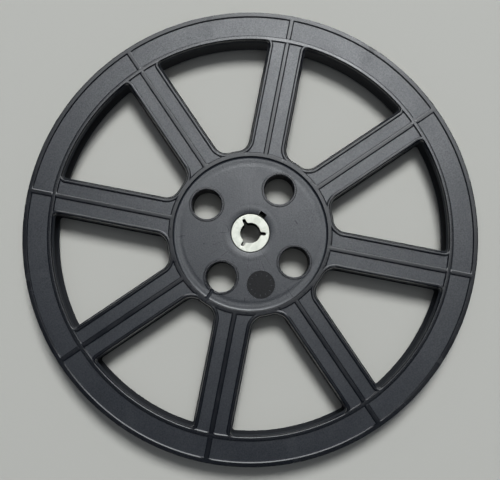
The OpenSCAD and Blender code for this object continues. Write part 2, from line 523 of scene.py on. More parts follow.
    def section(self) -> Outline:
        """Gives the half section before it is cut, anticlockwise from the opening's foot."""
        top, low = self.thickness, self.disc_top
        foot, edge, lip = self.foot_round, self.edge_round, self.opening_round
        inner_seat, outer_seat = self.drum_seat
        outline = [
            (self.opening, 0.0),
            (inner_seat, 0.0),
            (inner_seat, self.seat_depth),
            (outer_seat, self.seat_depth),
            (outer_seat, 0.0),
        ]
        outline += arc((self.radius - foot, foot), foot, -pi / 2, 0, 3)
        outline += arc((self.radius - edge, top - edge), edge, 0, pi / 2, 7)
        outline += self.crown()
        ring_centre = (self.disc_radius + self.ring_round * sin(self.ring_wall), top - self.ring_round)
        outline += arc(ring_centre, self.ring_round, pi / 2, pi / 2 + self.ring_wall, 5)
        outline += [(self.disc_radius + inwards, low + rise) for inwards, rise in self.disc_foot]
        for middle, half_width, depth in self.disc_valleys:
            outline += self.valley(middle, half_width, depth)
        outline += arc((self.opening + lip, low - lip), lip, pi / 2, pi, 3)
        return outline

    def crown(self) -> Outline:
        """Gives the crowned top of the rib along the windows' outer ends, from the outside in."""
        margin, run_in, ridge_share, steps = 0.1 * MM, 0.35 * MM, 0.3, 8
        outer = self.window_outer + self.inner_rib + margin
        inner = self.window_outer - self.past
        ridge = self.window_outer + ridge_share * self.inner_rib
        points = [(outer + run_in, self.thickness)]
        for k in range(steps + 1):
            r = outer + (inner - outer) * k / steps
            off_ridge = max(r - ridge, 0.0)
            points.append((r, self.thickness - 0.5 * off_ridge * off_ridge / self.crown_radius))
        return points

    def valley(self, middle: float, half_width: float, depth: float, steps: int = 10) -> Outline:
        """Gives the sweep of a shallow ring-shaped sink in the disc, over a wall behind it.

        Args:
            middle: Radius of its middle.
            half_width: Half its width.
            depth: Its depth in the middle.
            steps: Number of chords.

        Returns:
            Points of the section from the outside in, with soft edges.
        """
        points = []
        for k in range(steps + 1):
            share = 1 - 2 * k / steps
            points.append((middle + half_width * share, self.disc_top - depth * cos(share * pi / 2) ** 2))
        return points

    def spoke_angles(self) -> list[float]:
        """Gives the directions of the spokes."""
        return [self.sector * (k + 0.5) for k in range(self.spokes)]

    def fillet_centres(self) -> tuple[PlanPoint, PlanPoint]:
        """Gives the centres of a window's outer and inner fillet beside a spoke along +X."""
        rim_y = self.half_spoke + self.rim_fillet
        hub_y = self.half_spoke + self.hub_fillet
        rim_x = sqrt((self.window_outer - self.rim_fillet) ** 2 - rim_y**2)
        hub_x = sqrt((self.window_inner + self.hub_fillet) ** 2 - hub_y**2)
        return (rim_x, rim_y), (hub_x, hub_y)

    def window_outline(self, grow: float) -> Outline:
        """Gives the outline of the window whose first side lies along a spoke on +X, anticlockwise.

        Args:
            grow: How far the outline stands outside the window's edge.

        Returns:
            The outline.
        """
        rim_centre, hub_centre = self.fillet_centres()
        rim_angle, hub_angle = angle_of(rim_centre), angle_of(hub_centre)
        near = arc(hub_centre, self.hub_fillet + grow, hub_angle + pi, 1.5 * pi, 12)
        near += arc(rim_centre, self.rim_fillet + grow, -pi / 2, rim_angle, 9)
        far = turned(flipped(near), self.sector)
        rim = arc((0, 0), self.window_outer + grow, rim_angle, self.sector - rim_angle, 30)[1:-1]
        hub = arc((0, 0), self.window_inner - grow, self.sector - hub_angle, hub_angle, 6)[1:-1]
        return near + rim + far + hub

    def spoke_panel_outline(self, grow: float) -> Outline:
        """Gives the outline of the sunk panel on the left of a spoke along +X, anticlockwise.

        Args:
            grow: How far the outline stands outside the panel's edge.

        Returns:
            The outline.
        """
        spine_y = self.spine / 2 - grow
        rim_centre, hub_centre = self.fillet_centres()
        rim_round = self.rim_fillet + self.window_rib - grow
        hub_round = self.hub_fillet + self.window_rib - grow
        outer, inner = self.window_outer + grow, self.ring_outer - grow
        rim_corner = ring_crossing(rim_centre, rim_round, outer)
        hub_corner = ring_crossing(hub_centre, hub_round, inner)
        outline = arc((0, 0), outer, asin(spine_y / outer), angle_of(rim_corner), 6)[:-1]
        outline += arc(rim_centre, rim_round, angle_of(rim_corner, rim_centre), -pi / 2, 6)
        outline += arc(hub_centre, hub_round, -pi / 2, angle_of(hub_corner, hub_centre), 10)[:-1]
        outline += arc((0, 0), inner, angle_of(hub_corner), asin(spine_y / inner), 8)
        return outline

    def rim_panel_outline(self, grow: float) -> Outline:
        """Gives the outline of the sunk panel in the rim that starts at a spoke along +X, anticlockwise.

        Args:
            grow: How far the outline stands outside the panel's edge.

        Returns:
            The outline.
        """
        half_spine = self.spine / 2 - grow
        outer = self.radius - self.outer_rib + grow
        inner = self.window_outer + self.inner_rib - grow
        outer_start, inner_start = asin(half_spine / outer), asin(half_spine / inner)
        outline = arc((0, 0), outer, outer_start, self.sector - outer_start, 34)
        outline += arc((0, 0), inner, self.sector - inner_start, inner_start, 34)
        return outline

    def sunk_cutters(self, name: str, outline: Callable[[float], Outline]) -> list[Piece]:
        """Makes the cutters of one kind of sunk panel: a soft foot, a drafted wall and a flared top.

        Args:
            name: Name of the cutters.
            outline: Gives the panel's outline for a growth.

        Returns:
            The cutters.
        """
        floor = self.thickness - self.panel_depth
        profile = [(grow, floor + rise) for grow, rise in self.panel_wall]
        profile.append((profile[-1][0], self.thickness + self.past))
        return grown_solids(name, outline, profile, self.spoke_angles())

    def rim_panels(self) -> list[Piece]:
        """Makes the cutters for the panels in the rim."""
        return self.sunk_cutters("rim_panel", self.rim_panel_outline)

    def spoke_panels(self) -> list[Piece]:
        """Makes the cutters for the two panels on every spoke."""
        left = self.sunk_cutters("spoke_panel", self.spoke_panel_outline)
        right = self.sunk_cutters("spoke_panel", lambda grow: flipped(self.spoke_panel_outline(grow)))
        return left + right

    def windows(self) -> list[Piece]:
        """Makes the cutters for the windows, flared at both faces."""
        foot, mouth = -self.window_draft, 0.3 * MM
        profile = [(foot + mouth, -self.past)]
        profile += reversed(flare(self.window_round, 3, foot, 0.0, upwards=False))
        profile += [(grow, self.thickness + rise) for grow, rise in self.window_lip]
        profile.append((profile[-1][0], self.thickness + self.past))
        return grown_solids("window", self.window_outline, profile, self.spoke_angles())

    def at_fingers(self, name: str, profile: Profile) -> list[Piece]:
        """Makes a round solid at every finger hole.

        Args:
            name: Name of the solids.
            profile: Radius and height of each row, from the bottom up.

        Returns:
            The solids.
        """
        angles = [TURN * k / self.fingers for k in range(self.fingers)]
        centres = [(self.finger_pitch * cos(a), self.finger_pitch * sin(a)) for a in angles]
        return [round_solid(name, centre, profile) for centre in centres]

    def collars(self) -> Piece:
        """Makes the raised collars round the finger holes, still closed."""
        soft, sunk, foot, draft = self.collar_round, 0.3 * MM, 0.12 * MM, 0.1 * MM
        outer = self.finger_radius + self.collar
        height = self.disc_top + self.collar_height
        profile = [(outer + foot, self.disc_top - sunk), (outer + draft, self.disc_top)]
        profile += arc((outer - soft, height - soft), soft, radians(15), pi / 2, 4)
        return joined("collars", self.at_fingers("collar", profile))

    def finger_holes(self) -> list[Piece]:
        """Makes the cutters for the finger holes, with rounded upper edges."""
        height = self.disc_top + self.collar_height
        profile = [(self.finger_radius, -self.past), (self.finger_radius, 0.5 * MM)]
        profile += [(self.finger_radius + g, z) for g, z in flare(self.finger_round, 4, 0.0, height)]
        profile.append((profile[-1][0], height + self.past))
        return self.at_fingers("finger_hole", profile)

    def tube_seats(self) -> list[Piece]:
        """Makes the cutters for the seats of the finger tubes in the inner face."""
        return self.at_fingers("tube_seat", [(self.tube_seat, -self.past), (self.tube_seat, self.seat_depth)])

    def slot_cutter(
        self, name: str, corners: Outline, angle: float, floor: float, lean: float
    ) -> Piece:
        """Makes a cutter with leaning walls in the disc.

        Args:
            name: Name of the new object.
            corners: Outline of the slot along +X.
            angle: Where it goes.
            floor: Height of the cutter's foot.
            lean: How far each long wall leans out on its way up.

        Returns:
            The cutter.
        """
        grown = [(x, y + (lean if y > 0 else -lean)) for x, y in corners]
        top = self.thickness + self.past
        return lofted(name, [at_height(turned(corners, angle), floor), at_height(turned(grown, angle), top)])

    def key_notch(self) -> Piece:
        """Makes the cutter for the notch beside the centre plate."""
        well_inside = 0.8 * self.opening
        corners = bar(well_inside, self.notch_reach, self.notch_width / 2)
        return self.slot_cutter("key_notch", corners, 0.0, -self.past, self.notch_lean)

    def film_slot(self) -> Piece:
        """Makes the cutter for the groove over the drum's film slot."""
        corners = bar(self.finger_pitch, self.slot_reach, self.slot_width / 2 - self.slot_lean / 2)
        return self.slot_cutter("film_slot", corners, self.slot_angle, self.slot_floor, self.slot_lean)

    def mark_centre(self) -> PlanPoint:
        """Gives the centre of the round mould mark."""
        return (self.finger_pitch * cos(self.mark_angle), self.finger_pitch * sin(self.mark_angle))

    def mould_mark(self) -> Piece:
        """Makes the cutter for the round mould mark, with a soft foot."""
        floor, soft = self.disc_top - self.mark_depth, 0.05 * MM
        profile = [(self.mark_radius - soft, floor), (self.mark_radius, floor + soft)]
        profile.append((self.mark_radius + soft, self.disc_top + self.past))
        return round_solid("mould_mark", self.mark_centre(), profile, 64)

    def mark_pips(self) -> list[Piece]:
        """Makes the plain raised ticks round the edge of the mould mark."""
        length, width, height, soft = 0.7 * MM, 0.22 * MM, 0.09 * MM, 0.05 * MM
        floor = self.disc_top - self.mark_depth
        middle = self.mark_radius * self.tick_place
        across, up = self.mark_centre()
        ticks = []
        for k in range(self.mark_ticks):
            rows = []
            for inset, rise in ((0.0, -height), (0.0, height / 2), (soft, height)):
                half = length / 2 - inset
                plan = bar(middle - half, middle + half, width / 2 - inset)
                plan = [(across + x, up + y) for x, y in turned(plan, TURN * k / self.mark_ticks)]
                rows.append(at_height(plan, floor + rise))
            ticks.append(lofted("tick", rows))
        return ticks


# Pressed steel centre plate


@dataclass
class CentrePlate:
    """One pressed steel plate, drawn as it lies in a flange whose inner face is at z = 0.

    Attributes:
        crown: Radius of the raised crown.
        brim: Radius of the brim under the flange.
        top: Height of the crown's face.
        slot_end: How far a slot reaches from the spindle axis.
        mouth_width: Width of a slot's flared mouth.
        mouth_length: How far the mouth's sides run in from the bore.
        flat: From the spindle axis to the crown's squared side.
        tab_end: How far the bent tab reaches from the spindle axis.
        notch_width: Width of the opening in the brim for the tab.
    """

    bore: float = 4.0 * MM
    crown: float = 7.5 * MM
    brim: float = 10.9 * MM
    top: float = 1.35 * MM
    sheet: float = 0.8 * MM
    bend: float = 0.28 * MM
    edge: float = 0.1 * MM
    around: int = 144
    sharp_from: float = radians(35)

    slot_angles: tuple[float, ...] = (radians(60), radians(180), radians(300))
    slot_width: float = 1.3 * MM
    slot_end: float = 6.1 * MM
    mouth_width: float = 1.9 * MM
    mouth_length: float = 0.8 * MM

    flat: float = 7.41 * MM
    tab_width: float = 2.4 * MM
    tab_end: float = 8.0 * MM
    tab_top: float = -0.3 * MM
    tab_round: float = 0.2 * MM
    notch_width: float = 2.7 * MM
    past: float = 0.5 * MM

    def build(self) -> Piece:
        """Models the plate.

        Returns:
            The plate as one closed mesh, at the origin.
        """
        plate = spun("centre_plate", self.section(), self.around)
        combined(plate, self.tab_clearance(), Combining.CUT)
        combined(plate, self.tab(), Combining.ADD)
        combined(plate, joined("key_slots", self.key_slots()), Combining.CUT)
        finished_surface(plate, self.sharp_from)
        return plate

    def section(self) -> Outline:
        """Gives the half section of the crown, its wall and the brim, anticlockwise."""
        inner = self.crown - self.sheet
        under = self.top - self.sheet
        edge, bend = self.edge, self.bend
        tight = 0.15 * MM
        outline = [(self.bore, under)]
        outline += arc((inner - tight, under - tight), tight, pi / 2, 0, 3)
        outline += arc((inner + 2 * tight, -self.sheet + 2 * tight), 2 * tight, pi, 1.5 * pi, 4)
        outline += arc((self.brim - edge, -self.sheet + edge), edge, -pi / 2, 0, 3)
        outline += arc((self.brim - edge, -edge), edge, 0, pi / 2, 3)
        outline += arc((self.crown + tight, tight), tight, -pi / 2, -pi, 3)
        outline += arc((self.crown - bend, self.top - bend), bend, 0, pi / 2, 7)
        outline += arc((self.bore + edge, self.top - edge), edge, pi / 2, pi, 4)
        return outline

    def tab_clearance(self) -> Piece:
        """Makes the cutter that squares the crown beside the notch and opens the brim there."""
        corners = bar(self.flat, self.brim + self.past, self.notch_width / 2)
        levels = (-self.sheet - self.past, self.top + self.past)
        return lofted("tab_clearance", [at_height(corners, z) for z in levels])

    def tab(self) -> Piece:
        """Makes the tab that is bent down into the notch, with a rounded top edge."""
        soft, top = self.tab_round, self.tab_top
        profile = ((0.0, -self.sheet), (0.0, top - soft), (0.3 * soft, top - 0.3 * soft), (soft, top))
        inside = self.flat - self.sheet / 2
        half = self.tab_width / 2
        rows = [at_height(bar(inside, self.tab_end - shrink, half - shrink / 2), z) for shrink, z in profile]
        return lofted("tab", rows)

    def slot_outline(self, grow: float) -> Outline:
        """Gives the outline of a key slot along +X, with its flared mouth and round end.

        Args:
            grow: How far the outline stands outside the slot's edge.

        Returns:
            The outline, anticlockwise.
        """
        half, mouth = self.slot_width / 2 + grow, self.mouth_width / 2 + grow
        end = self.slot_end - self.slot_width / 2
        inside, mouth_start = 0.6 * self.bore, 0.97 * self.bore
        meets = self.bore + self.mouth_length * (1 - half / mouth)
        outline = [(inside, -mouth), (mouth_start, -mouth), (meets, -half)]
        outline += arc((end, 0), half, -pi / 2, pi / 2, 10)
        return outline + [(meets, half), (mouth_start, mouth), (inside, mouth)]

    def key_slots(self) -> list[Piece]:
        """Makes the cutters for the three key slots, with softened edges."""
        top, edge, below = self.top, self.edge, 0.3 * MM
        profile = [(0.0, top - self.sheet - below), (0.0, top - edge), (0.3 * edge, top - 0.3 * edge)]
        profile += [(1.1 * edge, top + 0.1 * edge), (1.1 * edge, top + self.past)]
        return grown_solids("key_slot", self.slot_outline, profile, self.slot_angles)


# Shader building

VECTOR, NUMBER = "NodeSocketVector", "NodeSocketFloat"


class Graph:
    """Adds and joins the nodes of one shader tree.

    Attributes:
        tree: The node tree.
    """

    def __init__(self, tree: Tree) -> None:
        """Takes the tree that the nodes go into."""
        self.tree = tree

    def node(
        self, kind: str, inputs: Mapping[str | int, Feed] | None = None, **settings: object
    ) -> Node:
        """Adds a node, sets its properties and feeds its inputs.

        Args:
            kind: Type name of the node.
            inputs: What its inputs get, by name or number.
            settings: Properties of the node by name.

        Returns:
            The node.
        """
        node = self.tree.nodes.new(kind)
        for name, value in settings.items():
            setattr(node, name, value)
        self.feed(node, inputs or {})
        return node

    def feed(self, node: Node, inputs: Mapping[str | int, Feed]) -> None:
        """Links outputs to a node's inputs, or sets the inputs' values.

        Args:
            node: The node.
            inputs: What its inputs get, by name or number.
        """
        for key, value in inputs.items():
            if isinstance(value, Socket):
                self.tree.links.new(value, node.inputs[key])
            else:
                node.inputs[key].default_value = value

    def math(self, operation: str, *values: Feed, clamp: bool = False) -> Socket:
        """Adds a sum on numbers, kept between 0 and 1 where clamp is true."""
        inputs = dict(enumerate(values))
        return self.node("ShaderNodeMath", inputs, operation=operation, use_clamp=clamp).outputs[0]

    def plus(self, first: Feed, second: Feed) -> Socket:
        """Adds two numbers."""
        return self.math("ADD", first, second)

    def minus(self, first: Feed, second: Feed) -> Socket:
        """Takes the second number from the first."""
        return self.math("SUBTRACT", first, second)

    def times(self, first: Feed, second: Feed) -> Socket:
        """Multiplies two numbers."""
        return self.math("MULTIPLY", first, second)

    def larger(self, first: Feed, second: Feed) -> Socket:
        """Gives the larger of two numbers."""
        return self.math("MAXIMUM", first, second)

    def length(self, x: Feed, y: Feed) -> Socket:
        """Gives the length of a line that runs x across and y up."""
        return self.math("SQRT", self.plus(self.times(x, x), self.times(y, y)))

    def vector(self, operation: str, *values: Feed) -> Socket:
        """Adds a sum on vectors that gives a vector."""
        return self.node("ShaderNodeVectorMath", dict(enumerate(values)), operation=operation).outputs[0]

    def dot(self, first: Feed, second: Feed) -> Socket:
        """Adds the dot product of two vectors."""
        node = self.node("ShaderNodeVectorMath", {0: first, 1: second}, operation="DOT_PRODUCT")
        return node.outputs["Value"]

    def parts(self, vector: Feed) -> list[Socket]:
        """Splits a vector into its three coordinates."""
        return list(self.node("ShaderNodeSeparateXYZ", {0: vector}).outputs)

    def ramp(self, value: Feed, low: Feed, high: Feed, start: float = 0.0, end: float = 1.0) -> Socket:
        """Maps a value softly: low and less gives start, high and more gives end."""
        inputs = {"Value": value, "From Min": low, "From Max": high, "To Min": start, "To Max": end}
        return self.node("ShaderNodeMapRange", inputs, interpolation_type="SMOOTHSTEP").outputs[0]

    def fall(self, value: Feed, low: Feed, high: Feed) -> Socket:
        """Maps a value softly from 1 at low and less to 0 at high and more."""
        return self.ramp(value, low, high, 1.0, 0.0)

    def swing(self, noise: Feed, reach: float) -> Socket:
        """Turns noise into a soft change from minus to plus the reach."""
        return self.ramp(noise, 0.3, 0.7, -reach, reach)

    def noise(self, vector: Feed, scale: Feed, detail: float = 2.0, distortion: float = 0.0) -> Socket:
        """Adds noise between 0 and 1, with a scale in waves per metre and a number of finer layers."""
        inputs = {"Vector": vector, "Scale": scale, "Detail": detail, "Distortion": distortion}
        return self.node("ShaderNodeTexNoise", inputs).outputs[0]

    def mixed(self, share: Feed, first: Feed, second: Feed) -> Socket:
        """Mixes two colours, by the share of the second."""
        factor, one, other, result = 0, 6, 7, 2
        inputs = {factor: share, one: first, other: second}
        return self.node("ShaderNodeMix", inputs, data_type="RGBA").outputs[result]

    def blended(self, share: Feed, first: Feed, second: Feed) -> Socket:
        """Mixes two numbers, by the share of the second."""
        factor, one, other, result = 0, 2, 3, 0
        inputs = {factor: share, one: first, other: second}
        return self.node("ShaderNodeMix", inputs, data_type="FLOAT").outputs[result]

    def scaled(self, vector: Feed, scale: tuple[float, float, float], turn: float = 0.0) -> Socket:
        """Turns a place about the spindle axis by an angle in radians and stretches it along each axis."""
        inputs = {"Vector": vector, "Rotation": (0, 0, turn), "Scale": scale}
        return self.node("ShaderNodeMapping", inputs, vector_type="POINT").outputs[0]

    def bumped(self, height: Feed, distance: float) -> Socket:
        """Gives the normal of a surface with a fine relief, as deep as the distance at height 1."""
        return self.node("ShaderNodeBump", {"Height": height, "Distance": distance}).outputs["Normal"]

    def use(self, group: Tree, **values: Feed) -> Node:
        """Places a shared effect and feeds its inputs by name."""
        return self.node("ShaderNodeGroup", values, node_tree=group)


class Effects:
    """The shader effects that more than one finish uses, each built once as a node group.

    Attributes:
        grain: Fine grain and slow mottling.
        hairlines: Thin scattered scratches.
        worn_edges: A mask along edges and corners.
        scratch: One thin line between two points.
    """

    def __init__(self) -> None:
        """Builds the groups."""
        self.grain = self.build_grain()
        self.hairlines = self.build_hairlines()
        self.worn_edges = self.build_worn_edges()
        self.scratch = self.build_scratch()

    def started(
        self, name: str, inputs: dict[str, str], outputs: Sequence[str]
    ) -> tuple[Graph, list[Socket], Node]:
        """Starts a group with named sockets.

        Args:
            name: Name of the group.
            inputs: Socket type of each input by name.
            outputs: Names of the outputs, which are numbers.

        Returns:
            The group's graph, its inputs in order and its output node.
        """
        tree = bpy.data.node_groups.new(name, "ShaderNodeTree")
        for socket, kind in inputs.items():
            tree.interface.new_socket(socket, in_out="INPUT", socket_type=kind)
        for socket in outputs:
            tree.interface.new_socket(socket, in_out="OUTPUT", socket_type=NUMBER)
        graph = Graph(tree)
        given = graph.node("NodeGroupInput")
        return graph, [given.outputs[socket] for socket in inputs], graph.node("NodeGroupOutput")

    def build_grain(self) -> Tree:
        """Builds the fine grain of a moulded or rolled surface, and the slow mottling over it."""
        sockets = {"Vector": VECTOR, "Scale": NUMBER}
        graph, (place, scale), result = self.started("Surface grain", sockets, ("Height", "Mottle"))
        slow_scale, slow_warp = 0.045, 0.4
        slow = graph.noise(place, graph.times(scale, slow_scale), 3.0, slow_warp)
        graph.feed(result, {"Height": graph.noise(place, scale, 3.0), "Mottle": graph.ramp(slow, 0.3, 0.7)})
        return graph.tree

    def build_hairlines(self) -> Tree:
        """Builds thin scattered scratches in two crossing directions."""
        sockets = {"Vector": VECTOR, "Scale": NUMBER}
        graph, (place, scale), result = self.started("Hairline scratches", sockets, ("Mask",))
        half_width, stretch, gap_scale = 0.004, (1.0, 0.05, 1.0), 0.35
        lines = []
        for turn in (radians(24), radians(-63)):
            drawn = graph.noise(graph.scaled(place, stretch, turn), scale, 0.0, 0.3)
            band = graph.math("ABSOLUTE", graph.minus(drawn, 0.5))
            lines.append(graph.fall(band, 0.0, half_width))
        broken = graph.ramp(graph.noise(place, graph.times(scale, gap_scale), 2.0), 0.55, 0.68)
        graph.feed(result, {"Mask": graph.times(graph.larger(*lines), broken)})
        return graph.tree

    def build_scratch(self) -> Tree:
        """Builds the mask of one thin line between two points, soft at its sides."""
        sockets = {"Vector": VECTOR, "Start": VECTOR, "End": VECTOR, "Width": NUMBER}
        graph, (place, start, end, width), result = self.started("Scratch", sockets, ("Mask",))
        away = graph.vector("SUBTRACT", place, start)
        along = graph.vector("SUBTRACT", end, start)
        share = graph.math("DIVIDE", graph.dot(away, along), graph.dot(along, along), clamp=True)
        foot = graph.node("ShaderNodeVectorMath", {0: along, "Scale": share}, operation="SCALE")
        gap = graph.vector("SUBTRACT", away, foot.outputs[0])
        distance = graph.math("SQRT", graph.dot(gap, gap))
        graph.feed(result, {"Mask": graph.fall(distance, graph.times(width, 0.4), width)})
        return graph.tree

    def build_worn_edges(self) -> Tree:
        """Builds the mask that finds edges, broken up so that the wear isn't even."""
        sockets = {"Vector": VECTOR, "Radius": NUMBER, "Scale": NUMBER}
        graph, (place, radius, scale), result = self.started("Worn edges", sockets, ("Mask",))
        rounded = graph.node("ShaderNodeBevel", {"Radius": radius}, samples=4).outputs[0]
        true_normal = graph.node("ShaderNodeNewGeometry").outputs["Normal"]
        edge = graph.ramp(graph.dot(rounded, true_normal), 0.998, 0.93)
        broken = graph.ramp(graph.noise(place, scale, 3.0), 0.35, 0.6, 0.25, 1.0)
        graph.feed(result, {"Mask": graph.times(edge, broken)})
        return graph.tree


class Surface:
    """Where on the reel a shader works, as values in its graph.

    Attributes:
        graph: The shader's graph.
        place: The place itself.
        x: Its first coordinate.
        y: Its second coordinate.
        above: Its height over the reel's middle.
        off_middle: How far it is from the reel's middle, up or down.
    """

    def __init__(self, graph: Graph, middle: float) -> None:
        """Reads the place.

        Args:
            graph: The shader's graph.
            middle: Height of the reel's middle.
        """
        self.graph = graph
        self.place = graph.node("ShaderNodeTexCoord").outputs["Object"]
        self.x, self.y, height = graph.parts(self.place)
        self.above = graph.minus(height, middle)
        self.off_middle = graph.math("ABSOLUTE", self.above)

    @cached_property
    def radius(self) -> Socket:
        """Gives the distance from the spindle axis."""
        return self.graph.length(self.x, self.y)


def started_material(name: str) -> tuple[Finish, Graph, Node]:
    """Starts a material.

    Args:
        name: Name of the material.

    Returns:
        The material, its graph and its shader node.
    """
    material = bpy.data.materials.new(name)
    material.use_nodes = True
    return material, Graph(material.node_tree), material.node_tree.nodes["Principled BSDF"]


# Finishes


@dataclass(frozen=True)
class Rubbed:
    """One scratch or speck on the front face, as a line in the reel's plane.

    Attributes:
        start: One end.
        end: The other end.
        width: Half its width.
    """

    start: PlanPoint
    end: PlanPoint
    width: float


MARKS = (
    Rubbed(*in_metres((-2.5, 9.9), (-3.9, 7.2)), 0.16 * MM),
    Rubbed(*in_metres((13.7, -12.1), (13.2, -13.4)), 0.3 * MM),
    Rubbed(*in_metres((-9.3, 11.6), (-9.2, 11.5)), 0.25 * MM),
    Rubbed(*in_metres((-13.5, 12.9), (-13.4, 12.8)), 0.4 * MM),
    Rubbed(*in_metres((-69.7, -23.1), (-70.6, -25.3)), 0.14 * MM),
    Rubbed(*in_metres((-33.1, 8.3), (-31.8, 4.0)), 0.16 * MM),
)


@dataclass(frozen=True)
class PlasticMasks:
    """Where on the plastic each look holds, as shader values from 0 to 1.

    Attributes:
        ribs: Smooth tops of the ribs, and the inner faces.
        walls: Walls below the panels, and the inner faces.
        disc: The hub's disc.
        mark: Floor of the mould mark.
        rubbed: The single scratches and specks.
        hairlines: The fine scattered scratches.
    """

    ribs: Socket
    walls: Socket
    disc: Socket
    mark: Socket
    rubbed: Socket
    hairlines: Socket


@dataclass(frozen=True)
class BlackPlastic:
    """Black moulded plastic: grained in the sunk panels, rubbed smooth on top of the ribs.

    Levels are distances from the reel's middle, up or down. Where a look changes between two
    levels or radii, the first is where the change starts.

    Attributes:
        half_height: Height of the reel's middle.
        rib_and_inner_shade_colour: Colour of the rubbed rib tops; on the inner faces between the flanges the
            same darker colour is painted shade.
        worn_gain: How much lighter worn edges are than the grained faces.
        sheen: Share of the soft second shine on the grained faces.
        rim_rib_sheen: Its share on the rib along the windows' outer ends.
        grain_scale: Grains per metre.
        panel_bump: Depth of the grain's relief on the grained faces.
        grain_sheen: How far the grain swings the second shine.
        mottle_swing: How far the slow mottling changes the roughness, up and down.
        rib_levels: Where the rib tops start.
        wall_levels: Where the walls end.
        inner_levels: Where the inner faces end.
        rim_rib: Inner and outer radius of the rib along the windows' outer ends.
        knit_width: Half the width of the knit lines, as a share of a spoke's turn.
        streak_swing: How far the streaks in the disc change the roughness, up and down.
        wear_scale: Patches of wear per metre.
    """

    effects: Effects
    half_height: float

    panel_colour: Colour = (0.0052, 0.0072, 0.0115, 1.0)
    rib_and_inner_shade_colour: Colour = (0.0026, 0.0034, 0.0056, 1.0)
    mark_colour: Colour = (0.0055, 0.0055, 0.0062, 1.0)
    worn_gain: float = 3.0
    wear: float = 0.25

    panel_roughness: float = 0.353
    spoke_roughness: float = 0.323
    rib_roughness: float = 0.242
    disc_roughness: float = 0.349
    mark_roughness: float = 0.97
    wall_roughness: float = 0.8
    mottle_swing: float = 0.03
    knit_roughness: float = 0.09
    rubbed_roughness: float = 0.3
    hairline_roughness: float = 0.12

    specular: float = 0.51
    sheen: float = 0.58
    sheen_roughness: float = 0.34
    rim_rib_sheen: float = 0.5
    mark_sheen: float = 0.15

    grain_scale: float = 1750.0
    grain_height: float = 0.03 * MM
    panel_bump: float = 1.8
    rib_bump: float = 0.12
    disc_bump: float = 1.6
    grain_sheen: float = 3.4
    disc_grain_sheen: float = 2.6

    rib_levels: tuple[float, float] = (6.12 * MM, 6.19 * MM)
    wall_levels: tuple[float, float] = (5.55 * MM, 5.72 * MM)
    inner_levels: tuple[float, float] = (4.36 * MM, 4.6 * MM)
    disc_radius: float = 30.0 * MM
    rib_radius: float = 32.0 * MM
    rim_radius: float = 80.0 * MM
    rim_rib: tuple[float, float] = (78.0 * MM, 79.6 * MM)
    spokes: int = 8
    knit_width: float = 0.035
    knit_wobble: float = 0.12
    knit_scale: float = 130.0
    streak_swing: float = 0.03
    streak_scale: float = 7.0
    fine_streak_swing: float = 0.05
    fine_streak_scale: float = 34.0
    scratch_scale: float = 420.0
    wear_scale: float = 900.0
    wear_width: float = 0.18 * MM

    marks: tuple[Rubbed, ...] = MARKS
    mark_place: PlanPoint = (-14.57 * MM, -14.57 * MM)
    mark_radius: float = 5.5 * MM
    mark_floor: float = 5.79 * MM

    def material(self) -> Finish:
        """Builds the material.

        Returns:
            The material.
        """
        material, graph, shader = started_material("black_moulded_plastic")
        surface = Surface(graph, self.half_height)
        masks = self.masks(surface)
        grain = graph.use(self.effects.grain, Vector=surface.place, Scale=self.grain_scale).outputs
        depth = graph.blended(masks.ribs, self.panel_bump, self.rib_bump)
        depth = graph.blended(masks.disc, depth, self.disc_bump)
        looks = {
            "Base Color": self.colour(surface, masks),
            "Roughness": self.roughness(surface, masks, grain["Mottle"]),
            "Coat Weight": self.shine(surface, masks, grain["Height"]),
            "Coat Roughness": self.sheen_roughness,
            "Specular IOR Level": self.specular,
            "Normal": graph.bumped(graph.times(grain["Height"], depth), self.grain_height),
        }
        graph.feed(shader, looks)
        return material

    def masks(self, surface: Surface) -> PlasticMasks:
        """Finds where each look holds.

        Args:
            surface: Where the shader works.

        Returns:
            The masks.
        """
        graph, radius, off_middle = surface.graph, surface.radius, surface.off_middle
        ribs = graph.ramp(off_middle, *self.rib_levels)
        inner = graph.fall(off_middle, *self.inner_levels)
        effect = graph.use(self.effects.hairlines, Vector=surface.place, Scale=self.scratch_scale)
        return PlasticMasks(
            ribs=graph.plus(ribs, inner),
            walls=graph.fall(off_middle, *self.wall_levels),
            disc=graph.fall(radius, self.disc_radius, self.disc_radius * 1.003),
            mark=self.mark_mask(surface),
            rubbed=self.rubbed_mask(surface),
            hairlines=effect.outputs["Mask"],
        )

    def colour(self, surface: Surface, masks: PlasticMasks) -> Socket:
        """Makes the colour.

        Args:
            surface: Where the shader works.
            masks: Where each look holds.

        Returns:
            The colour.
        """
        graph = surface.graph
        settings = {"Radius": self.wear_width, "Scale": self.wear_scale}
        effect = graph.use(self.effects.worn_edges, Vector=surface.place, **settings)
        # Darker where the ribs mask holds: the rubbed rib tops' own colour, and painted shade on the inner
        # faces between the flanges.
        colour = graph.mixed(masks.ribs, self.panel_colour, self.rib_and_inner_shade_colour)
        colour = graph.mixed(masks.mark, colour, self.mark_colour)
        worn = tuple(self.worn_gain * c for c in self.panel_colour[:3]) + (1.0,)
        wear = graph.times(graph.larger(effect.outputs["Mask"], masks.hairlines), self.wear)
        return graph.mixed(wear, colour, worn)

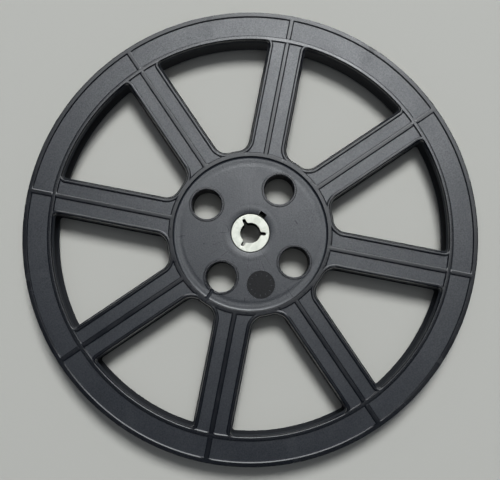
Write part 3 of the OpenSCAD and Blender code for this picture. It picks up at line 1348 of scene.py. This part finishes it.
    def roughness(self, surface: Surface, masks: PlasticMasks, mottle: Socket) -> Socket:
        """Makes the roughness.

        Args:
            surface: Where the shader works.
            masks: Where each look holds.
            mottle: The slow mottling.

        Returns:
            The roughness.
        """
        graph = surface.graph
        panels = (self.rib_radius, self.rim_radius, self.spoke_roughness, self.panel_roughness)
        rough = graph.ramp(surface.radius, *panels)
        rough = graph.blended(masks.disc, rough, self.disc_roughness)
        rough = graph.blended(masks.ribs, rough, self.rib_roughness)
        rough = graph.plus(rough, graph.ramp(mottle, 0.0, 1.0, -self.mottle_swing, self.mottle_swing))
        rough = graph.plus(rough, graph.times(self.knit_lines(surface), self.knit_roughness))
        rough = graph.plus(rough, graph.times(self.flow_streaks(surface), masks.disc))
        rough = graph.plus(rough, graph.times(masks.rubbed, self.rubbed_roughness))
        rough = graph.blended(masks.mark, rough, self.mark_roughness)
        rough = graph.blended(masks.walls, rough, self.wall_roughness)
        return graph.plus(rough, graph.times(masks.hairlines, self.hairline_roughness))

    def shine(self, surface: Surface, masks: PlasticMasks, grain: Socket) -> Socket:
        """Makes the share of the soft second shine.

        Args:
            surface: Where the shader works.
            masks: Where each look holds.
            grain: The fine grain.

        Returns:
            The share.
        """
        graph, soft = surface.graph, 0.2 * MM
        inside, outside = self.rim_rib
        rim_rib = graph.ramp(surface.radius, inside, inside + soft, 0.0, self.rim_rib_sheen)
        rim_rib = graph.times(rim_rib, graph.fall(surface.radius, outside, outside + soft))
        sheen = graph.blended(graph.larger(masks.ribs, masks.rubbed), self.sheen, rim_rib)
        sheen = graph.blended(masks.mark, sheen, self.mark_sheen)
        sheen = graph.blended(masks.walls, sheen, 0.0)
        swing = graph.blended(masks.disc, self.grain_sheen, self.disc_grain_sheen)
        swing = graph.times(graph.minus(grain, 0.5), swing)
        return graph.math("MULTIPLY", sheen, graph.plus(swing, 1.0), clamp=True)

    def flow_streaks(self, surface: Surface) -> Socket:
        """Makes the faint streaks that run outwards in the hub's disc, as a change of roughness."""
        graph = surface.graph
        flat = graph.scaled(surface.place, (1.0, 1.0, 0.0))
        outwards = graph.vector("NORMALIZE", flat)
        wide = graph.noise(outwards, self.streak_scale, 4.0, 0.3)
        fine_place = graph.vector("ADD", outwards, graph.scaled(flat, (3.0, 3.0, 0.0)))
        fine = graph.noise(fine_place, self.fine_streak_scale, 3.0, 0.2)
        return graph.plus(graph.swing(wide, self.streak_swing), graph.swing(fine, self.fine_streak_swing))

    def rubbed_mask(self, surface: Surface) -> Socket:
        """Finds the single scratches and specks on the front face."""
        graph = surface.graph
        plan = graph.node("ShaderNodeCombineXYZ", {0: surface.x, 1: surface.y}).outputs[0]
        mask: Feed = 0.0
        for mark in self.marks:
            ends = {"Start": (*mark.start, 0.0), "End": (*mark.end, 0.0)}
            line = graph.use(self.effects.scratch, Vector=plan, Width=mark.width, **ends)
            mask = graph.larger(mask, line.outputs["Mask"])
        return graph.times(mask, graph.math("GREATER_THAN", surface.above, self.inner_levels[1]))

    def mark_mask(self, surface: Surface) -> Socket:
        """Finds the floor of the round mould mark on both flanges."""
        graph, soft, shallow = surface.graph, 0.1 * MM, 0.03 * MM
        side = graph.math("SIGN", surface.above)
        off_x = graph.minus(surface.x, self.mark_place[0])
        off_y = graph.minus(graph.times(surface.y, side), self.mark_place[1])
        distance = graph.length(off_x, off_y)
        inside = graph.fall(distance, self.mark_radius - soft, self.mark_radius)
        low = graph.fall(surface.off_middle, self.mark_floor, self.mark_floor + shallow)
        return graph.times(inside, low)

    def knit_lines(self, surface: Surface) -> Socket:
        """Finds the faint smudges where two flows of plastic met in the rim, outside each window's middle."""
        graph = surface.graph
        angle = graph.times(graph.math("ARCTAN2", surface.y, surface.x), self.spokes / TURN)
        wobble = graph.minus(graph.noise(surface.place, self.knit_scale), 0.5)
        wobble = graph.times(wobble, self.knit_wobble)
        near = graph.math("PINGPONG", graph.plus(angle, wobble), 0.5)
        line = graph.fall(near, 0.0, self.knit_width)
        return graph.times(line, graph.ramp(surface.radius, self.rim_radius, self.rim_radius + 1 * MM))


@dataclass(frozen=True)
class PlatedSteel:
    """Bright plated sheet steel with a satin, slightly cloudy face, and painted shade on its low parts.

    Attributes:
        half_height: Height of the reel's middle.
        dull_colour: Colour of its cloudy patches.
        deep_shade_colour: Painted shade on the plate's low parts: the brim under the flange, the tab down in
            the notch, and the lower walls of the crown and the slots, which lie in deep shade.
        deep_shade_levels: Distances from the reel's middle where the painted shade is full and where it ends.
        metallic: Share of the metal under the dull film.
        polish: How much smoother worn edges and scratches are.
        cloud_swing: Change of roughness outside and inside the cloudy patches.
        grain_scale: Grains per metre.
    """

    effects: Effects
    half_height: float
    colour: Colour = (0.725, 0.73, 0.648, 1.0)
    dull_colour: Colour = (0.62, 0.635, 0.554, 1.0)
    worn_colour: Colour = (0.90, 0.92, 0.85, 1.0)
    deep_shade_colour: Colour = (0.02, 0.02, 0.018, 1.0)
    deep_shade_levels: tuple[float, float] = (5.4 * MM, 5.62 * MM)
    metallic: float = 0.4
    roughness: float = 0.60
    polish: float = 0.12
    cloud_swing: tuple[float, float] = (-0.03, 0.05)
    cloud_scale: float = 420.0
    scratch_scale: float = 900.0
    wear_scale: float = 1500.0
    wear_width: float = 0.12 * MM
    grain_scale: float = 2600.0
    grain_height: float = 0.003 * MM

    def material(self) -> Finish:
        """Builds the material.

        Returns:
            The material.
        """
        material, graph, shader = started_material("plated_steel")
        surface = Surface(graph, self.half_height)
        place = surface.place
        grain = graph.use(self.effects.grain, Vector=place, Scale=self.grain_scale)
        scratches = graph.use(self.effects.hairlines, Vector=place, Scale=self.scratch_scale)
        settings = {"Radius": self.wear_width, "Scale": self.wear_scale}
        edges = graph.use(self.effects.worn_edges, Vector=place, **settings)
        edges, scratches = edges.outputs["Mask"], scratches.outputs["Mask"]
        clouds = graph.ramp(graph.noise(place, self.cloud_scale, 4.0, 0.6), 0.35, 0.7)
        colour = graph.mixed(clouds, self.colour, self.dull_colour)
        colour = graph.mixed(edges, colour, self.worn_colour)
        # Painted shade: below these levels the plate's colour is mixed towards near black (brim, tab in the
        # notch, lower crown and slot walls).
        painted_shade = graph.fall(surface.off_middle, *self.deep_shade_levels)
        rough = graph.plus(self.roughness, graph.ramp(clouds, 0.0, 1.0, *self.cloud_swing))
        looks = {
            "Base Color": graph.mixed(painted_shade, colour, self.deep_shade_colour),
            "Roughness": graph.minus(rough, graph.times(graph.larger(edges, scratches), self.polish)),
            "Metallic": self.metallic,
            "Normal": graph.bumped(grain.outputs["Height"], self.grain_height),
        }
        graph.feed(shader, looks)
        return material


# Studio


@dataclass(frozen=True)
class Lamp:
    """Soft elliptical lamp that looks at the reel's middle.

    Attributes:
        direction: Where it hangs, as an angle from the picture's right-hand side.
        lean: How far it is from overhead.
        size: Its width and its height.
        power: Its power in watts.
        mirrored: False for a lamp that shows in no reflection.
        matt: True for a lamp that lights matt surfaces.
    """

    name: str
    direction: float
    lean: float
    size: tuple[float, float]
    power: float
    mirrored: bool = True
    matt: bool = False


@dataclass
class Studio:
    """Pale floor, soft lights and the camera. Directions in the picture are angles from its right-hand side.

    Attributes:
        image_turn: Direction of the picture's right-hand side, as an angle of the reel.
        tilt: Lean of the picture about its horizontal.
        side_tilt: Lean of the picture about its vertical.
        foot: Point below the camera, right and up in the picture from the spindle axis.
        above: Height of the camera over the front face.
        focal_px: Focal length in pixels of the picture.
        principal_px: Where the camera's axis meets the picture, right and down from its middle.
        sensor: Width of the camera's sensor, in its own millimetres.
        lamp_reach: How far the lamps hang from the reel's middle.
        sky_heights: Heights on the sky's unit ball between which the one becomes the other.
        backdrop: Colour that the camera sees past the floor.
        floor_gap: From the floor to the reel's lowest face.
    """

    image_turn: float = radians(56.49)
    tilt: float = -0.1152
    side_tilt: float = 0.0017
    foot: PlanPoint = (0.0013, -0.0262)
    above: float = 0.3267
    focal_px: float = 837.2
    principal_px: tuple[float, float] = (5.1, -36.6)
    width_px: int = 500
    sensor: float = 36.0
    near_clip: float = 0.01

    lamps: tuple[Lamp, ...] = (
        Lamp("broad", radians(76.8), radians(17.7), (1.97, 1.64), 27.4),
        Lamp("core", radians(74.5), radians(25.4), (0.82, 0.82), 12.7),
        Lamp("low", radians(82), radians(50), (3.8, 1.2), 90.0),
        Lamp("key", radians(80), radians(28.3), (0.95, 0.95), 84.0, mirrored=False, matt=True),
        Lamp("fill", radians(80), radians(10), (3.0, 3.0), 13.3, mirrored=False, matt=True),
    )
    lamp_reach: float = 3.0
    lamp_colour: tuple[float, float, float] = (0.97, 1.0, 1.02)
    sky_overhead: Colour = (0.072, 0.081, 0.096, 1.0)
    sky_low: Colour = (0.088, 0.099, 0.117, 1.0)
    sky_heights: tuple[float, float] = (0.1, 0.85)
    backdrop: Colour = (0.50, 0.495, 0.46, 1.0)
    floor_colour: Colour = (0.47, 0.462, 0.428, 1.0)
    floor_roughness: float = 0.95
    floor_specular: float = 0.1
    floor_size: float = 6.0
    floor_gap: float = 0.02 * MM

    def build(self) -> None:
        """Sets up the floor, the lights and the camera."""
        bpy.context.scene.view_settings.view_transform = "Standard"
        self.floor()
        for lamp in self.lamps:
            self.hang(lamp)
        self.sky()
        self.camera()

    def view_matrix(self) -> Matrix:
        """Gives the turn from reel directions to camera directions."""
        tilt = Matrix.Rotation(self.tilt, 4, "X")
        side = Matrix.Rotation(self.side_tilt, 4, "Y")
        return tilt @ side @ Matrix.Rotation(self.image_turn, 4, "Z")

    def from_picture(self, right: float, up: float, height: float) -> Vector:
        """Turns a direction given in the picture into one of the reel."""
        return Matrix.Rotation(-self.image_turn, 4, "Z") @ Vector((right, up, height))

    def camera(self) -> None:
        """Places the camera at the photograph's angle."""
        data = bpy.data.cameras.new("camera")
        data.sensor_width = self.sensor
        data.lens = self.focal_px / self.width_px * self.sensor
        data.shift_x = -self.principal_px[0] / self.width_px
        data.shift_y = self.principal_px[1] / self.width_px
        data.clip_start = self.near_clip
        camera = bpy.data.objects.new("camera", data)
        bpy.context.scene.collection.objects.link(camera)
        place = self.from_picture(*self.foot, self.above + CAD_BOX[1][2])
        camera.matrix_world = Matrix.Translation(place) @ self.view_matrix().inverted()
        bpy.context.scene.camera = camera

    def floor(self) -> None:
        """Lays the pale floor."""
        bpy.ops.object.select_all(action="DESELECT")
        bpy.ops.mesh.primitive_plane_add(size=self.floor_size, location=(0.0, 0.0, -self.floor_gap))
        floor = bpy.context.object
        floor.name = "floor"
        material, graph, shader = started_material("floor")
        looks = {
            "Base Color": self.floor_colour,
            "Roughness": self.floor_roughness,
            "Specular IOR Level": self.floor_specular,
        }
        graph.feed(shader, looks)
        floor.data.materials.append(material)

    def hang(self, lamp: Lamp) -> None:
        """Hangs one lamp."""
        out = sin(lamp.lean)
        place = self.from_picture(out * cos(lamp.direction), out * sin(lamp.direction), cos(lamp.lean))
        place *= self.lamp_reach
        data = bpy.data.lights.new(lamp.name, "AREA")
        data.shape = "ELLIPSE"
        data.size, data.size_y = lamp.size
        data.energy = lamp.power
        data.color = self.lamp_colour
        hung = bpy.data.objects.new(lamp.name, data)
        hung.location = place
        hung.rotation_euler = (-place).to_track_quat("-Z", "Y").to_euler()
        hung.visible_glossy = lamp.mirrored
        hung.visible_diffuse = lamp.matt
        bpy.context.scene.collection.objects.link(hung)

    def sky(self) -> None:
        """Sets the soft sky, darker overhead than low down, and the plain backdrop that the camera sees."""
        world = bpy.data.worlds.new("sky")
        world.use_nodes = True
        graph = Graph(world.node_tree)
        direction = graph.parts(graph.node("ShaderNodeTexCoord").outputs["Generated"])
        overhead = graph.ramp(direction[2], *self.sky_heights)
        shade = graph.mixed(overhead, self.sky_low, self.sky_overhead)
        seen = graph.node("ShaderNodeLightPath").outputs["Is Camera Ray"]
        graph.feed(world.node_tree.nodes["Background"], {"Color": graph.mixed(seen, shade, self.backdrop)})
        bpy.context.scene.world = world


def dressed(piece: Piece, node: str, finish: Finish) -> None:
    """Gives a modelled piece its finish and lets it stand for its CAD node.

    Args:
        piece: The piece.
        node: Name of the CAD node.
        finish: Its material.
    """
    piece.data.materials.clear()
    piece.data.materials.append(finish)
    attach(piece, ROOT)
    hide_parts(node)
    LOG.info("%s: %d faces, stands for %s", piece.name, len(piece.data.polygons), node)


def main() -> None:
    """Builds the reel's pieces, then the studio, and reports each one."""
    logging.basicConfig(level=logging.INFO, format="%(message)s")
    height = CAD_BOX[1][2]
    effects = Effects()
    plastic = BlackPlastic(effects, height / 2).material()
    steel = PlatedSteel(effects, height / 2).material()
    flange_shape = Flange()
    front_level = height - flange_shape.thickness
    flange = flange_shape.build()
    plate = CentrePlate().build()
    for side in Side:
        place = side.placing(front_level, height)
        moulding = copied(flange, f"{side.value}_flange_moulding", place)
        dressed(moulding, f"{side.value}_flange", plastic)
        pressing = copied(plate, f"{side.value}_plate_pressing", place)
        dressed(pressing, f"{side.value}_centre_plate", steel)
    for pattern in (flange, plate):
        bpy.data.objects.remove(pattern)
    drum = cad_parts["winding_drum"]
    drum.data.materials.clear()
    drum.data.materials.append(plastic)
    LOG.info("%s: keeps its CAD shape", drum.name)
    Studio().build()


if __name__ == "__main__":
    main()
